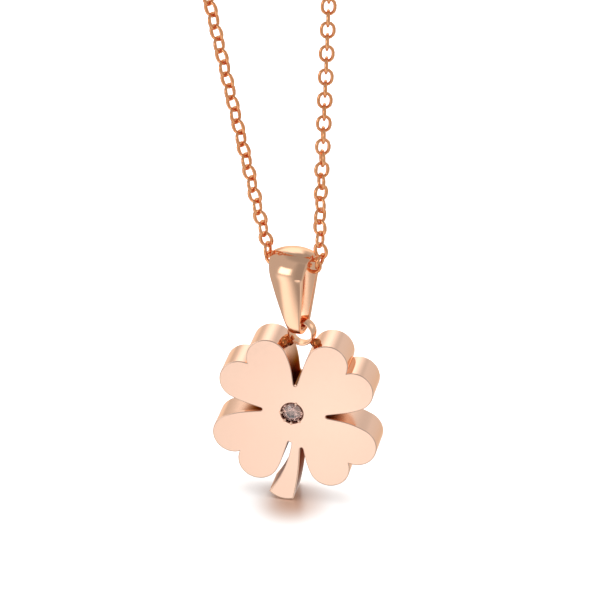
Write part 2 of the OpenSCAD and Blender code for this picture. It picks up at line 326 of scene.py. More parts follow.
class MaterialNodes(Nodes):
    """The nodes of one material, which end in a Principled shader."""

    def __init__(self, name: str) -> None:
        """Starts an empty material.

        Args:
            name: The material's name.
        """
        self.material = bpy.data.materials.new(name)
        self.material.use_nodes = True
        super().__init__(self.material.node_tree)
        self.tree.nodes.clear()
        self.shader = self.add("ShaderNodeBsdfPrincipled")
        output = self.add("ShaderNodeOutputMaterial")
        self.feed(self.shader.outputs["BSDF"], output.inputs["Surface"])
        self.place = self.add("ShaderNodeTexCoord").outputs["Object"]

    def surface(self, **looks: object) -> None:
        """Sets the shader's inputs.

        Args:
            looks: A value, colour or output for each input, by the input's name.
        """
        inputs = {s.name.lower().replace(" ", "_"): s for s in self.shader.inputs}
        for name, value in looks.items():
            self.feed(value, inputs[name])

    def source(self, name: str) -> Socket:
        """Finds the output that feeds one of the shader's inputs."""
        return self.shader.inputs[name].links[0].from_socket

    def noise(self, scale: float, detail: float) -> Socket:
        """Adds noise on the piece's own coordinates.

        Args:
            scale: Waves to a metre.
            detail: How many finer layers it has.

        Returns:
            The noise value's socket.
        """
        texture = self.add("ShaderNodeTexNoise", scale=scale, detail=detail)
        self.feed(self.place, texture.inputs["Vector"])
        return texture.outputs["Fac"]

    def spread(self, source: Socket, low: float = 0.0, high: float = 1.0) -> Socket:
        """Spreads the middle of a noise over a range."""
        weak, strong = NOISE_MIDDLE
        return self.ranged(source, from_min=weak, from_max=strong, to_min=low, to_max=high)

    def distance(self, middle: Vector, stretch: tuple[float, float, float] | Vector) -> Socket:
        """Measures how far each place lies from one point.

        Args:
            middle: The point.
            stretch: How much each axis counts.

        Returns:
            The distance's socket.
        """
        aside = self.work("ShaderNodeVectorMath", "SUBTRACT", self.place, middle)
        flat = self.work("ShaderNodeVectorMath", "MULTIPLY", aside.outputs["Vector"], stretch)
        length = self.work("ShaderNodeVectorMath", "LENGTH", flat.outputs["Vector"])
        return length.outputs["Value"]

    def blend(self, factor: Socket, first: Colour | Socket, second: Colour | Socket) -> Socket:
        """Mixes two colours.

        Args:
            factor: How much of the second colour there is.
            first: The first colour, linear, or its output.
            second: The second colour, linear, or its output.

        Returns:
            The colour's socket.
        """
        mix = self.add("ShaderNodeMix", data_type="RGBA")
        self.feed(factor, mix.inputs["Factor"])
        colours = (s for s in mix.inputs if s.type == "RGBA")
        for colour, socket in zip((first, second), colours):
            self.feed(colour, socket)
        return next(s for s in mix.outputs if s.type == "RGBA")


@dataclass(frozen=True)
class MetalFinish:
    """Plated rose gold, polished more or less.

    The plating's tone drifts softly, and the polishing wheel leaves haze and very fine waves.
    """

    name: str
    tone: Colour
    warm_tone: Colour
    rough_low: float
    rough_high: float
    drift_scale: float = 160.0
    drift_detail: float = 2.0
    haze_scale: float = 2200.0
    haze_detail: float = 4.0
    wave_scale: float = 5200.0
    wave_detail: float = 2.0
    wave_height: float = 0.004 * MM
    wave_strength: float = 0.05
    edge_tint: Colour = (1.0, 0.76, 0.58)

    def material(self) -> bpy.types.Material:
        """Builds the finish's material.

        Returns:
            The material.
        """
        nodes = MaterialNodes(self.name)
        drift = nodes.spread(nodes.noise(self.drift_scale, self.drift_detail))
        haze = nodes.noise(self.haze_scale, self.haze_detail)
        waves = nodes.noise(self.wave_scale, self.wave_detail)
        bump = nodes.add("ShaderNodeBump", strength=self.wave_strength, distance=self.wave_height)
        nodes.feed(waves, bump.inputs["Height"])
        nodes.surface(
            metallic=1.0,
            specular_tint=self.edge_tint,
            base_color=nodes.blend(drift, self.tone, self.warm_tone),
            roughness=nodes.spread(haze, self.rough_low, self.rough_high),
            normal=bump.outputs["Normal"],
        )
        self.shade(nodes)
        return nodes.material

    def shade(self, nodes: MaterialNodes) -> None:
        """Leaves the plating as it is.

        Args:
            nodes: The finish's nodes, not used here.
        """


@dataclass(frozen=True)
class CloverFinish(MetalFinish):
    """Polished rose gold that is rougher deep in the slots and in the stone's seat, and darkened
    there and at the stem by painted shade.
    """

    # The colour that the metal darkens to in the slots, the seat and the stem is painted shade.
    dull_tone: Colour = (0.36, 0.165, 0.08)
    dull_rough: float = 0.3
    middle: Vector = face_point(-0.4 * MM, -0.3 * MM)
    stretch: tuple[float, float, float] = (1.3, 0.0, 1.0)
    dull_to: float = 4.2 * MM
    bright_from: float = 7.2 * MM
    polished_from: float = 10.5 * MM
    stem_middle: Vector = face_point(-0.4 * MM, -5.8 * MM)
    stem_stretch: tuple[float, float, float] = (1.6, 0.0, 1.0)
    stem_shaded_to: float = 2.5 * MM
    stem_bright_from: float = 5.5 * MM
    skin: float = 1.82 * MM
    deep: float = 1.4 * MM

    def shade(self, nodes: MaterialNodes) -> None:
        """Roughens the metal near the clover's middle, and darkens it near the middle and the stem
        with painted shade, between its two faces.

        Args:
            nodes: The finish's nodes.
        """
        distance = nodes.distance(self.middle, self.stretch)
        stem_distance = nodes.distance(self.stem_middle, self.stem_stretch)
        near = nodes.ramp(distance, self.bright_from, self.dull_to)
        near_stem = nodes.ramp(stem_distance, self.stem_bright_from, self.stem_shaded_to)
        unpolished = nodes.ramp(distance, self.polished_from, self.dull_to)
        between = nodes.ramp(nodes.distance(self.middle, FORWARD), self.skin, self.deep)
        # Painted shade: darker colour and grazing reflections deep in the slots, the seat and the
        # stem.
        painted_shade = nodes.number("MULTIPLY", nodes.number("MAXIMUM", near, near_stem), between)
        rough = nodes.number("MULTIPLY", unpolished, between)
        haze = nodes.source("Roughness")
        nodes.surface(
            specular_tint=nodes.blend(painted_shade, self.edge_tint, self.dull_tone),
            base_color=nodes.blend(painted_shade, nodes.source("Base Color"), self.dull_tone),
            roughness=nodes.number("MULTIPLY_ADD", rough, self.dull_rough, haze),
        )


@dataclass(frozen=True)
class StoneFinish:
    """A cut stone, its tint darkened and warmed as a painted reflection of the gold behind it,
    with a lilac cast that drifts through it.
    """

    name: str = "cut_stone"
    # Both tints are darkened, and the first warmed, as a painted reflection of the gold round the
    # stone.
    gold_reflection_tint: Colour = (0.47, 0.29, 0.23)
    lilac_tint: Colour = (0.33, 0.18, 0.19)
    bending: float = 2.15
    rough_low: float = 0.0
    rough_high: float = 0.02
    cast_scale: float = 900.0
    cast_detail: float = 2.0
    polish_detail: float = 3.0

    def material(self) -> bpy.types.Material:
        """Builds the stone's material.

        Returns:
            The material.
        """
        nodes = MaterialNodes(self.name)
        cast = nodes.spread(nodes.noise(self.cast_scale, self.cast_detail))
        polish = nodes.noise(self.cast_scale, self.polish_detail)
        nodes.surface(
            transmission_weight=1.0,
            ior=self.bending,
            base_color=nodes.blend(cast, self.gold_reflection_tint, self.lilac_tint),
            roughness=nodes.spread(polish, self.rough_low, self.rough_high),
        )
        return nodes.material


@dataclass(frozen=True)
class PaperFinish:
    """A pale matt sweep with a faint gloss where the pendant's stem nearly touches it, and a warm
    tint painted there as the stem's shadow and reflection.
    """

    name: str = "studio_sweep"
    white: Colour = (0.94, 0.94, 0.94)
    shade: Colour = (0.92, 0.92, 0.92)
    grain_scale: float = 60.0
    grain_detail: float = 2.0
    rough: float = 0.6
    # The warm tint under the stem's foot is a painted shadow and reflection of the stem.
    painted_warm_reflection: Colour = (0.60, 0.38, 0.28)
    gloss_at: Vector = face_point(0.0, 0.0, -2.0 * MM)
    stretch: tuple[float, float, float] = (1.4, 1.0, 0.0)
    gloss_to: float = 0.5 * MM
    dry_from: float = 6.0 * MM
    gloss_bending: float = 2.2
    gloss_rough: float = 0.3

    def material(self) -> bpy.types.Material:
        """Builds the sweep's material.

        Returns:
            The material.
        """
        nodes = MaterialNodes(self.name)
        grain = nodes.spread(nodes.noise(self.grain_scale, self.grain_detail))
        distance = nodes.distance(self.gloss_at, self.stretch)
        near = nodes.ramp(distance, self.dry_from, self.gloss_to)
        paper = nodes.blend(grain, self.white, self.shade)
        nodes.surface(
            # Painted shadow and reflection: the paper turns warm under the stem's foot.
            base_color=nodes.blend(near, paper, self.painted_warm_reflection),
            roughness=self.rough,
            coat_weight=near,
            coat_ior=self.gloss_bending,
            coat_roughness=self.gloss_rough,
        )
        return nodes.material


@dataclass(frozen=True)
class CardFinish:
    """A lit white card that is brightest at one point."""

    name: str = "white_card"
    brightest: tuple[float, float, float] = (-5.0 * MM, 1.0 * MM, 0.0)
    most: float = 1.2
    least: float = 0.97
    reach: float = 21.0 * MM

    def material(self) -> bpy.types.Material:
        """Builds the card's material.

        Returns:
            The material.
        """
        nodes = MaterialNodes(self.name)
        distance = nodes.work("ShaderNodeVectorMath", "DISTANCE", nodes.place, self.brightest)
        fade = nodes.ranged(
            distance.outputs["Value"], from_max=self.reach, to_min=self.most, to_max=self.least
        )
        nodes.surface(
            base_color=BLACK,
            specular_ior_level=0.0,
            emission_color=WHITE,
            emission_strength=fade,
        )
        return nodes.material


MIRROR = CloverFinish("mirror_rose_gold", (0.95, 0.655, 0.51), (0.945, 0.64, 0.495), 0.04, 0.08)
BAIL_METAL = MetalFinish("bail_rose_gold", (0.93, 0.58, 0.39), (0.91, 0.555, 0.365), 0.07, 0.13)
CHAIN_METAL = MetalFinish("wire_rose_gold", (0.93, 0.45, 0.22), (0.86, 0.36, 0.15), 0.04, 0.10)
SOLDER = MetalFinish("solder_rose_gold", (0.66, 0.25, 0.09), (0.50, 0.15, 0.045), 0.06, 0.14)
# The seat cup's dark metal is painted shade: it darkens the deep gap round the stone.
SEAT_SHADE_METAL = MetalFinish("dulled_rose_gold", (0.30, 0.14, 0.10), (0.22, 0.09, 0.07), 0.25, 0.40)


@dataclass(frozen=True)
class Arc:
    """A round stretch of an outline, by its circle's centre and radius, in the face's plane.

    A stretch with turn 1 runs anticlockwise as the face is seen, and with -1 clockwise.
    """

    x: float
    z: float
    r: float
    turn: int

    def meets(self, other: "Arc", near: PlanePoint) -> PlanePoint:
        """Finds where this circle meets another one.

        Args:
            other: The other circle.
            near: A point near the wanted one of the two.

        Returns:
            The meeting point, or the point of touch where the circles only touch.
        """
        gap = Vector((other.x - self.x, other.z - self.z))
        apart = gap.length
        along = (apart**2 + self.r**2 - other.r**2) / (2 * apart)
        aside = math.sqrt(max(self.r**2 - along**2, 0.0))
        foot = Vector((self.x, self.z)) + gap * (along / apart)
        across = Vector((-gap.y, gap.x)) * (aside / apart)
        return tuple(min((foot + across, foot - across), key=lambda p: (p - Vector(near)).length))

    def sweep(self, start: PlanePoint, end: PlanePoint) -> float:
        """Measures the turn from one point of the circle to another.

        Args:
            start: Where the stretch starts.
            end: Where it ends.

        Returns:
            The turn in radians, positive anticlockwise as the face is seen.
        """
        first = math.atan2(start[1] - self.z, start[0] - self.x)
        last = math.atan2(end[1] - self.z, end[0] - self.x)
        return self.turn * ((self.turn * (last - first)) % math.tau)

    def straight_to(self, other: "Arc") -> tuple[PlanePoint, PlanePoint]:
        """Finds the straight edge that leaves this arc and runs into another one smoothly.

        Args:
            other: The other arc.

        Returns:
            Where the edge leaves this arc, and where it reaches the other one.
        """
        across, along = other.x - self.x, other.z - self.z
        share = (self.turn * self.r - other.turn * other.r) / math.hypot(across, along)
        way = math.atan2(along, across) + math.asin(max(-1.0, min(1.0, share)))
        side = Vector((math.sin(way), -math.cos(way)))
        leaves = Vector((self.x, self.z)) + side * (self.turn * self.r)
        reaches = Vector((other.x, other.z)) + side * (other.turn * other.r)
        return tuple(leaves), tuple(reaches)


@dataclass
class Clover:
    """The clover: leaves and stem in one plate, with the stone's seat, its cup and grains."""

    thickness: float = 3.8 * MM
    lobe_reach: float = 5.95 * MM
    lobe_gap: float = 3.6 * MM
    lobe_r: float = 2.0 * MM
    side_r: float = 7.8 * MM
    side_angle: float = math.radians(108.7)
    lower_out: float = 0.52 * MM
    lower_lift: float = 0.1 * MM
    top_tip: Arc = Arc(-0.1 * MM, 3.07 * MM, 0.17 * MM, 1)
    right_tip: Arc = Arc(3.1 * MM, 0.0, 0.17 * MM, 1)
    left_tip: Arc = Arc(-3.38 * MM, 0.05 * MM, 0.17 * MM, 1)
    stem_right_tip: Arc = Arc(0.69 * MM, -3.77 * MM, 0.17 * MM, 1)
    stem_left_tip: Arc = Arc(-0.56 * MM, -3.16 * MM, 0.11 * MM, 1)
    stem_drop: float = 9.33 * MM
    stem_left: float = -0.24 * MM
    stem_right: float = 0.51 * MM
    stem_left_r: float = 11.4 * MM
    stem_right_r: float = 26.0 * MM
    stem_left_bend: float = -2.1 * MM
    stem_right_bend: float = -4.3 * MM
    stem_foot_r: float = 2.32 * MM
    stem_foot_left: float = 0.7 * MM
    seat_r: float = 1.15 * MM
    seat_left: float = 0.33 * MM
    seat_ledge: float = 0.45 * MM
    seat_floor: float = 1.42 * MM
    ledge_r: float = 0.995 * MM
    edge_break: float = 0.05 * MM
    cup_wall: float = 0.1 * MM
    cup_sunk: float = 0.03 * MM
    rim_inset: float = 0.1 * MM
    arc_step: float = 0.14 * MM
    joint_gap: float = 0.0125 * MM
    flat_limit: float = 0.9
    edge_rows: int = 3
    seat_sides: int = 72
    cup_lift: float = 0.025 * MM
    grain_r: float = 0.16 * MM
    grain_out: float = 0.08 * MM
    grain_sunk: float = 0.02 * MM
    grain_shape: tuple[float, float, float] = (1.15, 0.9, 0.95)
    grain_splits: int = 3
    grain_angles: tuple[int, ...] = (70, 182, 230, 268, 312)

    def leaf(self, upper: bool, right: bool) -> list[Arc]:
        """Lists the four arcs of one leaf, clockwise round an upper right leaf.

        Args:
            upper: Whether it is one of the two upper leaves.
            right: Whether it is one of the two right leaves.

        Returns:
            The side arc, the two lobes and the other side arc, in the order of a clockwise walk.
        """
        side_x = self.lobe_reach - (self.side_r - self.lobe_r) * math.cos(self.side_angle)
        side_y = self.lobe_gap / 2 - (self.side_r - self.lobe_r) * math.sin(self.side_angle)
        own = [
            (side_x, side_y, self.side_r),
            (self.lobe_reach, self.lobe_gap / 2, self.lobe_r),
            (self.lobe_reach, -self.lobe_gap / 2, self.lobe_r),
            (side_x, -side_y, self.side_r),
        ]
        angle = math.radians(45 if upper else -45)
        out, lift = (0.0, 0.0) if upper else (self.lower_out, self.lower_lift)
        arcs = []
        for along, across, r in own:
            x = along * math.cos(angle) - across * math.sin(angle) + out
            z = along * math.sin(angle) + across * math.cos(angle) + lift
            arcs.append(Arc(x if right else -x, z, r, -1))
        return arcs if right else arcs[::-1]

    def outline(self) -> list[tuple[Arc, PlanePoint, PlanePoint]]:
        """Works out the whole outline, clockwise from the top slot.

        Returns:
            Each arc with the points where it starts and ends.
        """
        right_edge = self.stem_right - self.stem_right_r
        left_edge = self.stem_left - self.stem_left_r
        arcs = [
            self.top_tip,
            *self.leaf(upper=True, right=True),
            self.right_tip,
            *self.leaf(upper=False, right=True),
            self.stem_right_tip,
            Arc(right_edge, self.stem_right_bend, self.stem_right_r, -1),
            Arc(-self.stem_foot_left, self.stem_foot_r - self.stem_drop, self.stem_foot_r, -1),
            Arc(left_edge, self.stem_left_bend, self.stem_left_r, 1),
            self.stem_left_tip,
            *self.leaf(upper=False, right=False),
            self.left_tip,
            *self.leaf(upper=True, right=False),
        ]
        joints = [self.joint(arc, after) for arc, after in zip(arcs, [*arcs[1:], arcs[0]])]
        starts = [reaches for _, reaches in [joints[-1], *joints[:-1]]]
        return [(arc, start, end) for arc, start, (end, _) in zip(arcs, starts, joints)]

    def joint(self, arc: Arc, after: Arc) -> tuple[PlanePoint, PlanePoint]:
        """Joins two neighbouring arcs of the outline.

        Args:
            arc: The arc that ends.
            after: The arc that follows it.

        Returns:
            Where the first one ends and the next one starts.
        """
        small, other = sorted((arc, after), key=lambda a: a.r)
        if small.r <= self.top_tip.r:
            return arc.straight_to(after)
        far = (small.x + other.x, small.z + other.z)
        point = small.meets(other, far if small.r == other.r else (2 * small.x, 2 * small.z))
        return point, point

    def draw_outline(self, bm: BMesh, front: float) -> None:
        """Draws the whole outline as one ring of edges.

        Args:
            bm: An empty bmesh.
            front: Place of the outline along Y, from the plate's middle.
        """
        outline = self.outline()
        first = last = bm.verts.new(face_point(*outline[0][1], front))
        for arc, start, end in outline:
            if (last.co - face_point(*start, front)).length > self.joint_gap:
                straight = bm.verts.new(face_point(*start, front))
                bm.edges.new((last, straight))
                last = straight
            sweep = arc.sweep(start, end)
            spun = bmesh.ops.spin(
                bm,
                geom=[last],
                cent=face_point(arc.x, arc.z, front),
                axis=FORWARD,
                angle=sweep,
                steps=max(2, round(abs(sweep) * arc.r / self.arc_step)),
                use_duplicate=False,
            )
            last = only(spun["geom_last"], BMVert)[0]
        if (last.co - first.co).length > self.joint_gap:
            bm.edges.new((last, first))
        else:
            bmesh.ops.pointmerge(bm, verts=[first, last], merge_co=first.co)

    def plate(self) -> bpy.types.Object:
        """Models the leaves and the stem as one thick plate with broken edges and a seat.

        Returns:
            The plate.
        """
        bm = bmesh.new()
        front = -self.thickness / 2
        self.draw_outline(bm, front)
        bmesh.ops.contextual_create(bm, geom=bm.edges[:])
        body = bmesh.ops.extrude_face_region(bm, geom=bm.faces[:], use_keep_orig=True)
        back = only(body["geom"], BMVert)
        bmesh.ops.translate(bm, verts=back, vec=-FORWARD * self.thickness)
        bmesh.ops.recalc_face_normals(bm, faces=bm.faces[:])
        flats = [f for f in bm.faces if abs(f.normal.y) > self.flat_limit]
        bmesh.ops.inset_region(
            bm, faces=flats, thickness=self.rim_inset, use_even_offset=True, use_boundary=True
        )
        rims = [
            e
            for e in bm.edges
            if e.is_manifold and {round(abs(f.normal.y)) for f in e.link_faces} == {0, 1}
        ]
        round_off(bm, rims, self.edge_break, self.edge_rows)
        self.drill_seat(bm, front)
        mark_sharp(bm, SMOOTH_TURN)
        piece = mesh_object("clover_leaves", bm)
        weigh_normals(piece)
        return piece

    def drill_seat(self, bm: BMesh, front: float) -> None:
        """Opens the front face and shapes the stepped seat of the stone in it.

        Args:
            bm: The plate.
            front: Place of the front face along Y, from the plate's middle.
        """
        fronts = (f for f in bm.faces if f.normal.y < -self.flat_limit)
        face = max(fronts, key=lambda f: f.calc_area())
        border = list(face.edges)
        bmesh.ops.delete(bm, geom=[face], context="FACES_ONLY")
        centre = face_point(-self.seat_left, 0.0, front)
        turn = Matrix.Translation(centre) @ Matrix.Rotation(math.pi / 2, 4, "X")
        mouth = bmesh.ops.create_circle(
            bm, segments=self.seat_sides, radius=self.seat_r, matrix=turn
        )
        ring = edges_at(mouth["verts"])
        bmesh.ops.triangle_fill(bm, use_beauty=True, use_dissolve=True, edges=border + ring)
        radius, depth = self.seat_r, 0.0
        for next_depth, next_radius in (
            (self.seat_ledge, self.seat_r),
            (self.seat_ledge, self.ledge_r),
            (self.seat_floor, self.ledge_r),
        ):
            verts, ring = grow_ring(bm, ring)
            bmesh.ops.translate(bm, verts=verts, vec=-FORWARD * (next_depth - depth))
            share = next_radius / radius
            bmesh.ops.scale(
                bm, vec=(share, 1.0, share), space=Matrix.Translation(-centre), verts=verts
            )
            depth, radius = next_depth, next_radius
        bmesh.ops.contextual_create(bm, geom=ring)
        bmesh.ops.recalc_face_normals(bm, faces=bm.faces[:])

    def seat_cup(self) -> bpy.types.Object:
        """Models the thin cup that lines the seat, round about an axis through its middle.

        Returns:
            The cup.
        """
        inner = self.seat_r - self.cup_wall
        low = self.seat_ledge - self.cup_lift
        profile = [
            (self.seat_r, self.cup_sunk), (inner, self.cup_sunk), (inner, low), (self.seat_r, low),
        ]
        bm = bmesh.new()
        centre = face_point(-self.seat_left, 0.0, -self.thickness / 2)
        verts = [bm.verts.new(centre + Vector((r, depth, 0.0))) for r, depth in profile]
        for pair in zip(verts, [*verts[1:], verts[0]]):
            bm.edges.new(pair)
        revolve(bm, bm.verts[:] + bm.edges[:], centre, FORWARD, self.seat_sides)
        mark_sharp(bm, SMOOTH_TURN)
        return mesh_object("seat_cup", bm)

    def grains(self) -> bpy.types.Object:
        """Models the small grains of metal raised at the seat's rim.

        Returns:
            The grains.
        """
        bm = bmesh.new()
        reach = self.seat_r - self.grain_out
        level = self.grain_sunk - self.thickness / 2
        shape = Matrix.Diagonal((*self.grain_shape, 1.0))
        for angle in self.grain_angles:
            a = math.radians(angle)
            place = face_point(reach * math.cos(a) - self.seat_left, reach * math.sin(a), level)
            bmesh.ops.create_icosphere(
                bm,
                subdivisions=self.grain_splits,
                radius=self.grain_r,
                matrix=Matrix.Translation(place) @ Matrix.Rotation(-a, 4, "Y") @ shape,
            )
        return mesh_object("seat_grains", bm)


@dataclass
class HangingRing:
    """The banded ring soldered between the upper leaves."""

    centre: Vector = field(default_factory=lambda: face_point(0.1 * MM, 7.86 * MM))
    outer_r: float = 1.38 * MM
    wall: float = 0.3 * MM
    width: float = 1.16 * MM
    dome_r: float = 1.6 * MM
    turn: float = math.radians(-10)
    edge_break: float = 0.06 * MM
    edge_rows: int = 3
    dome_steps: int = 8
    sides: int = 72

    def band(self) -> bpy.types.Object:
        """Models the band: a flat inside, a domed outside and broken edges.

        Returns:
            The band.
        """
        bm = bmesh.new()
        half = self.width / 2
        tilt = math.asin(half / self.dome_r)
        dome_at = self.outer_r - self.dome_r
        start = bm.verts.new((dome_at + self.dome_r * math.cos(tilt), -half, 0.0))
        spun = bmesh.ops.spin(
            bm, geom=[start], cent=(dome_at, 0, 0), axis=UP, angle=2 * tilt, steps=self.dome_steps
        )
        end = only(spun["geom_last"], BMVert)[0]
        inner = [bm.verts.new((self.outer_r - self.wall, y, 0.0)) for y in (half, -half)]
        for pair in ((end, inner[0]), inner, (inner[1], start)):
            bm.edges.new(pair)
        round_off(bm, [start, end, *inner], self.edge_break, self.edge_rows)
        revolve(bm, bm.verts[:] + bm.edges[:], Vector(), -FORWARD, self.sides)
        place = Matrix.Translation(self.centre) @ Matrix.Rotation(self.turn, 4, "Z")
        bmesh.ops.transform(bm, matrix=place, verts=bm.verts[:])
        piece = mesh_object("hanging_ring", bm)
        weigh_normals(piece)
        return piece


@dataclass
class Solder:
    """The beads of solder that run from the ring to the two upper leaves."""

    ring: HangingRing
    clover: Clover
    left_r: float = 0.6 * MM
    right_r: float = 0.38 * MM
    lumps: float = 0.05 * MM
    lump_scale: float = 1.6 / MM
    grid: float = 0.045 * MM
    bead_splits: int = 4
    settle_by: float = 0.6
    settle_rounds: int = 6

    # Columns: side, share of that side's radius, how far forward, how far up the crevice.
    beads: tuple[tuple[float, float, float, float], ...] = (
        (-1, 1.0, 0.1 * MM, 0.0),
        (-1, 0.85, 0.7 * MM, 0.25 * MM),
        (-1, 0.62, 1.2 * MM, 0.3 * MM),
        (1, 1.0, 0.1 * MM, 0.0),
        (1, 1.1, 1.1 * MM, 0.7 * MM),
    )

    def blobs(self) -> bpy.types.Object:
        """Models the beads as lumps that run into one another.

        Returns:
            The beads in one piece.
        """
        bm = bmesh.new()
        reach, half = self.clover.lobe_reach, self.clover.lobe_gap / 2
        lobe_x = (reach - half) * math.sqrt(0.5)
        lobe_z = (reach + half) * math.sqrt(0.5)
        for side, share, forward, up in self.beads:
            lobe = face_point(side * lobe_x, lobe_z)
            way = lobe - self.ring.centre
            towards = way.normalized()
            middle = (self.ring.outer_r + way.length - self.clover.lobe_r) / 2
            crevice = Vector((side * abs(towards.z), 0.0, abs(towards.x)))
            place = self.ring.centre + towards * middle + crevice * up + FORWARD * forward
            radius = share * (self.left_r if side < 0 else self.right_r)
            bmesh.ops.create_icosphere(
                bm,
                subdivisions=self.bead_splits,
                radius=radius,
                matrix=Matrix.Translation(place),
            )
        for vert in bm.verts:
            push = noise.noise(vert.co * self.lump_scale) * self.lumps
            vert.co += vert.normal * push
        piece = mesh_object("solder_beads", bm)
        melt = piece.modifiers.new("melt", "REMESH")
        melt.mode = "VOXEL"
        melt.voxel_size = self.grid
        melt.use_smooth_shade = True
        settle = piece.modifiers.new("settle", "SMOOTH")
        settle.factor = self.settle_by
        settle.iterations = self.settle_rounds
        return piece


@dataclass
class Bail:
    """The folded sheet over the chain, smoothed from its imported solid."""

    node: str = "bail"
    crease_turn: float = math.radians(50)
    edge_break: float = 0.07 * MM
    left_flare: float = 0.27 * MM
    crown: float = 0.12 * MM
    edge_rows: int = 2
    join_turn: float = math.radians(25)
    join_skew: float = math.radians(60)

    # Where the left side's flare and the raised crown start, and how far on they are whole.
    left_from: float = CLOVER_AT.x - 0.3 * MM
    left_over: float = 1.0 * MM
    flare_from: float = -204.0 * MM
    flare_over: float = 4.0 * MM
    crown_from: float = -205.5 * MM
    crown_over: float = 1.5 * MM
    soft_levels: int = 2

    def sheet(self) -> bpy.types.Object:
        """Models the bail with softly broken edges and one smooth curve from side to side.

        Returns:
            The bail.
        """
        bm = packed_copy(self.node)
        bmesh.ops.join_triangles(
            bm,
            faces=bm.faces[:],
            angle_face_threshold=self.join_turn,
            angle_shape_threshold=self.join_skew,
            cmp_seam=False,
            cmp_sharp=False,
            cmp_uvs=False,
            cmp_vcols=False,
            cmp_materials=False,
        )
        for vert in bm.verts:
            left = clamped_share(self.left_from - vert.co.x, self.left_over)
            down = clamped_share(self.flare_from - vert.co.z, self.flare_over)
            top = clamped_share(vert.co.z - self.crown_from, self.crown_over)
            vert.co.x -= self.left_flare * left * (1 + down) / 2
            vert.co.z += self.crown * top
        creases = [e for e in bm.edges if e.calc_face_angle(0.0) > self.crease_turn]
        round_off(bm, creases, self.edge_break, self.edge_rows)
        piece = mesh_object("bail_sheet", bm)
        soften = piece.modifiers.new("soften", "SUBSURF")
        soften.levels = soften.render_levels = self.soft_levels
        return piece


@dataclass
class Strand:
    """A chain's centre line, walked by steps of equal length."""

    points: list[Vector]
    step_halvings: int = 24
    pitch_halvings: int = 40

    @classmethod
    def through(cls, route: Iterable[tuple[float, float, float]], parts: int) -> "Strand":
        """Lays one smooth line through the chosen points of a route.

        Args:
            route: The points, in millimetres.
            parts: Straight parts between two points.

        Returns:
            The line.
        """
        marks = [Vector(p) * MM for p in route]
        marks = [2 * marks[0] - marks[1], *marks, 2 * marks[-1] - marks[-2]]
        line = []
        for p0, p1, p2, p3 in zip(marks, marks[1:], marks[2:], marks[3:]):
            for i in range(parts):
                t = i / parts
                line.append(
                    (
                        2 * p1
                        + (p2 - p0) * t
                        + (2 * p0 - 5 * p1 + 4 * p2 - p3) * t**2
                        + (3 * p1 - p0 - 3 * p2 + p3) * t**3
                    )
                    / 2
                )
        return cls([*line, marks[-2]])

    def length(self) -> float:
        """Measures the line."""
        return sum((b - a).length for a, b in zip(self.points, self.points[1:]))

    def steps(self, pitch: float) -> list[Vector]:
        """Walks the line by straight steps.

        Args:
            pitch: Length of a step.

        Returns:
            The points stepped on, from the line's start on.
        """
        reached = [self.points[0]]
        for a, b in zip(self.points, self.points[1:]):
            while (b - reached[-1]).length >= pitch:
                low, high = 0.0, 1.0
                for _ in range(self.step_halvings):
                    middle = (low + high) / 2
                    if (a.lerp(b, middle) - reached[-1]).length < pitch:
                        low = middle
                    else:
                        high = middle
                reached.append(a.lerp(b, high))
        return reached

    def even_steps(self, count: int) -> list[Vector]:
        """Walks the whole line in a number of equal straight steps.

        Args:
            count: How many steps there are.

        Returns:
            The points stepped on, both ends included.
        """
        low, high = 0.0, 2 * self.length() / count
        for _ in range(self.pitch_halvings):
            pitch = (low + high) / 2
            if len(self.steps(pitch)) > count:
                low = pitch
            else:
                high = pitch
        return [*self.steps(low)[:count], self.points[-1]]


